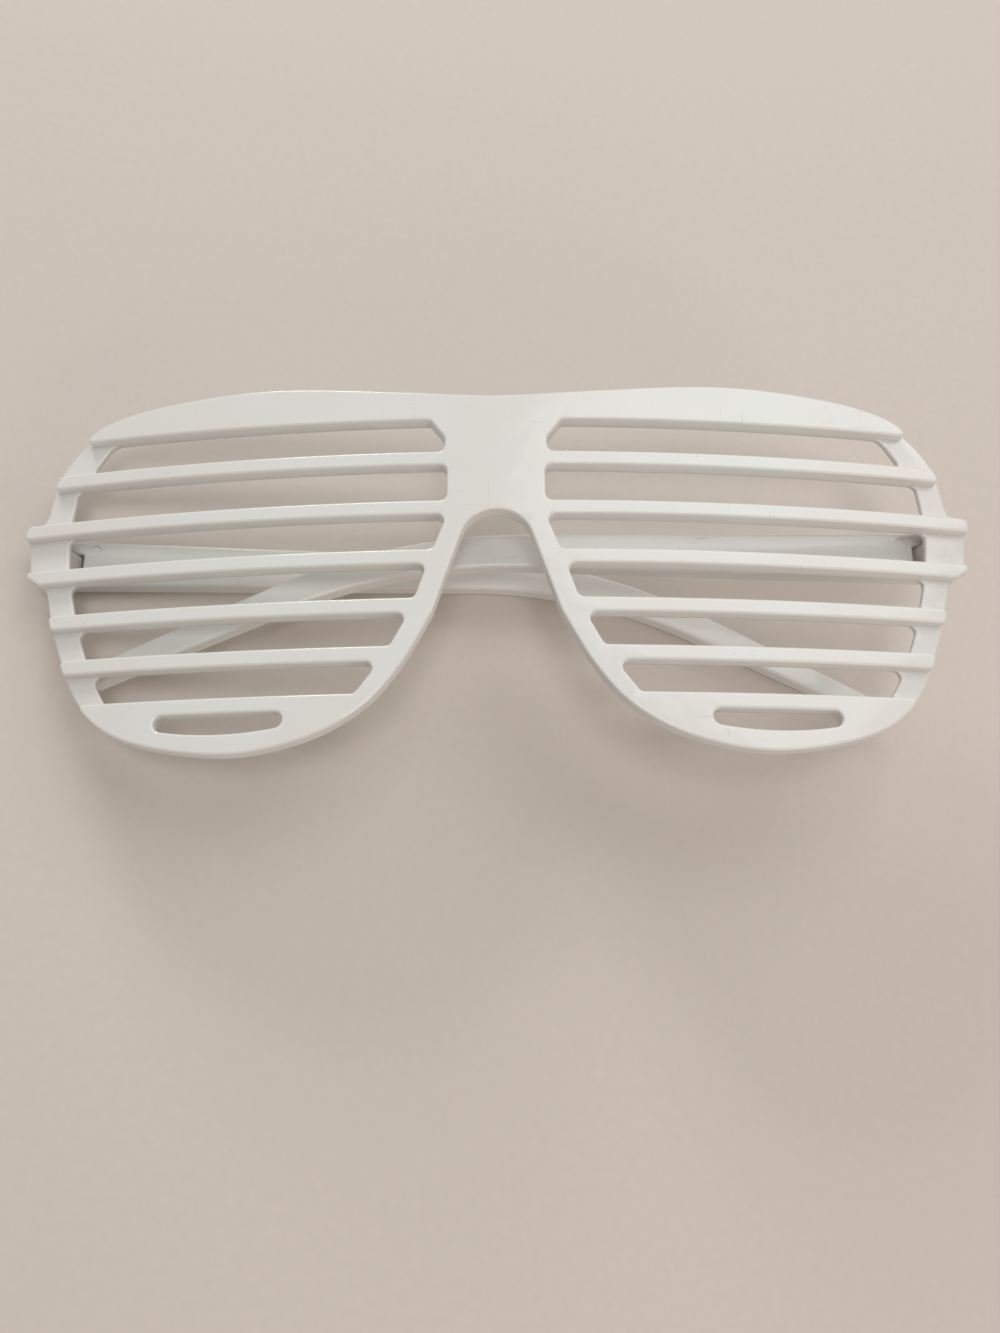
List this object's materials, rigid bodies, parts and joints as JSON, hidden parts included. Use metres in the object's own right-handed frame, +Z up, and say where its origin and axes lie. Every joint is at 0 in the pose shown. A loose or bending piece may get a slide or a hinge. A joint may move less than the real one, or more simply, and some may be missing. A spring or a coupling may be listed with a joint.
{
  "type": "slotted party glasses",
  "caption": "White slotted party glasses, a wrapped moulded front with horizontal slats for lenses and two hinged temples with ear hooks, shown folded and lying face up.",
  "frame": {"origin": "on the table under the middle of the glasses' bounding box", "axes": "+X along the front from its left side to its right side as its viewer sees it, +Y from the lens bottoms to the brow, +Z up from the table; the front faces up and leans 6.5 degrees to the left on the folded left temple"},
  "size_m": [0.1505, 0.06, 0.0257],
  "materials": {
    "white_plastic": "glossy injection-moulded white plastic with small scuffs",
    "pin_steel": "plain drawn steel wire"
  },
  "bodies": {
    "front": {"front": "white_plastic"},
    "temple_left": {"temple_left": "white_plastic", "hinge_pin_left": "pin_steel"},
    "temple_right": {"temple_right": "white_plastic", "hinge_pin_right": "pin_steel"}
  },
  "joints": [
    {"name": "temple_left_hinge", "type": "hinge", "parent": "front", "child": "temple_left", "pos_m": [-0.0685, 0.0045, 0.0015], "axis": [0, 1, 0], "range_deg": [0, 85.5]},
    {"name": "temple_right_hinge", "type": "hinge", "parent": "front", "child": "temple_right", "pos_m": [0.0694, 0.0045, 0.01721], "axis": [0, -1, 0], "range_deg": [0, 93.2]}
  ],
  "couplings": [
    {"joint": "temple_right_hinge", "follows": "temple_left_hinge", "ratio": 0.5}
  ]
}
